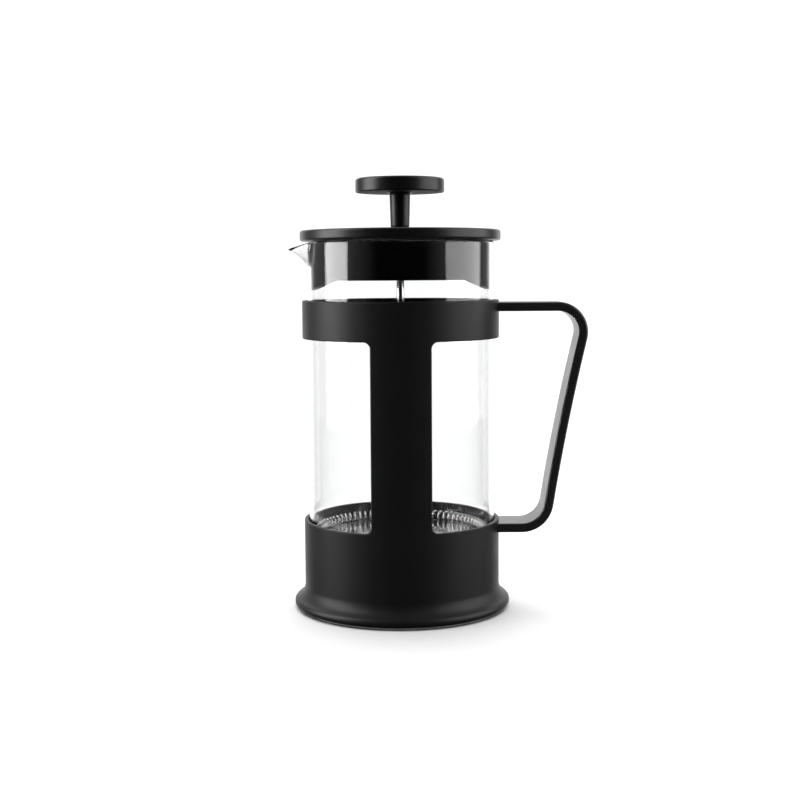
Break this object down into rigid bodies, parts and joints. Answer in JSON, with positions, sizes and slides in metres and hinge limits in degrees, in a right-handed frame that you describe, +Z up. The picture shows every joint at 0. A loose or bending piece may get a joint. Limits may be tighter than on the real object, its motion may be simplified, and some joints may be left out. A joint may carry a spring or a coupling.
{
  "type": "coffee press",
  "caption": "Coffee press: glass beaker with a pouring spout in a plastic frame with a handle, a lid with a strainer, and a plunger with a sprung filter.",
  "frame": {"origin": "centre of the frame's underside, on the axis of the beaker, lid and plunger", "axes": "+Z up along the plunger rod, +X towards the handle, so the spout points to -X and the front and back struts are at -Y and +Y"},
  "size_m": [0.1526, 0.1118, 0.2205],
  "materials": {
    "matte_black_plastic": "moulded black, satin",
    "gloss_black_plastic": "moulded black, semi-gloss",
    "beaker_glass": "clear borosilicate",
    "stainless_steel": "satin",
    "brass": "machined"
  },
  "bodies": {
    "frame": {"frame": "matte_black_plastic", "handle": "gloss_black_plastic"},
    "beaker": {"beaker": "beaker_glass"},
    "rod_guide": {"rod_guide": "matte_black_plastic"},
    "lid": {"lid_cover": "gloss_black_plastic", "lid_strainer": "gloss_black_plastic"},
    "plunger": {"knob": "gloss_black_plastic", "knob_insert": "brass", "plunger_rod": "stainless_steel", "rod_collar": "stainless_steel", "spiral_plate": "stainless_steel", "spring_coil": "stainless_steel", "filter_mesh": "stainless_steel", "cross_plate": "stainless_steel", "hub_nut": "stainless_steel"}
  },
  "joints": [
    {"name": "beaker_lift", "type": "slide", "parent": "frame", "child": "beaker", "axis": [0, 0, 1], "range_m": [0, 0.165]},
    {"name": "lid_lift", "type": "slide", "parent": "beaker", "child": "rod_guide", "axis": [0, 0, 1], "range_m": [0, 0.165]},
    {"name": "lid_turn", "type": "hinge", "parent": "rod_guide", "child": "lid", "pos_m": [0, 0, 0.1942], "axis": [0, 0, 1], "continuous": true},
    {"name": "plunger_slide", "type": "slide", "parent": "rod_guide", "child": "plunger", "axis": [0, 0, 1], "range_m": [0, 0.1205]}
  ]
}
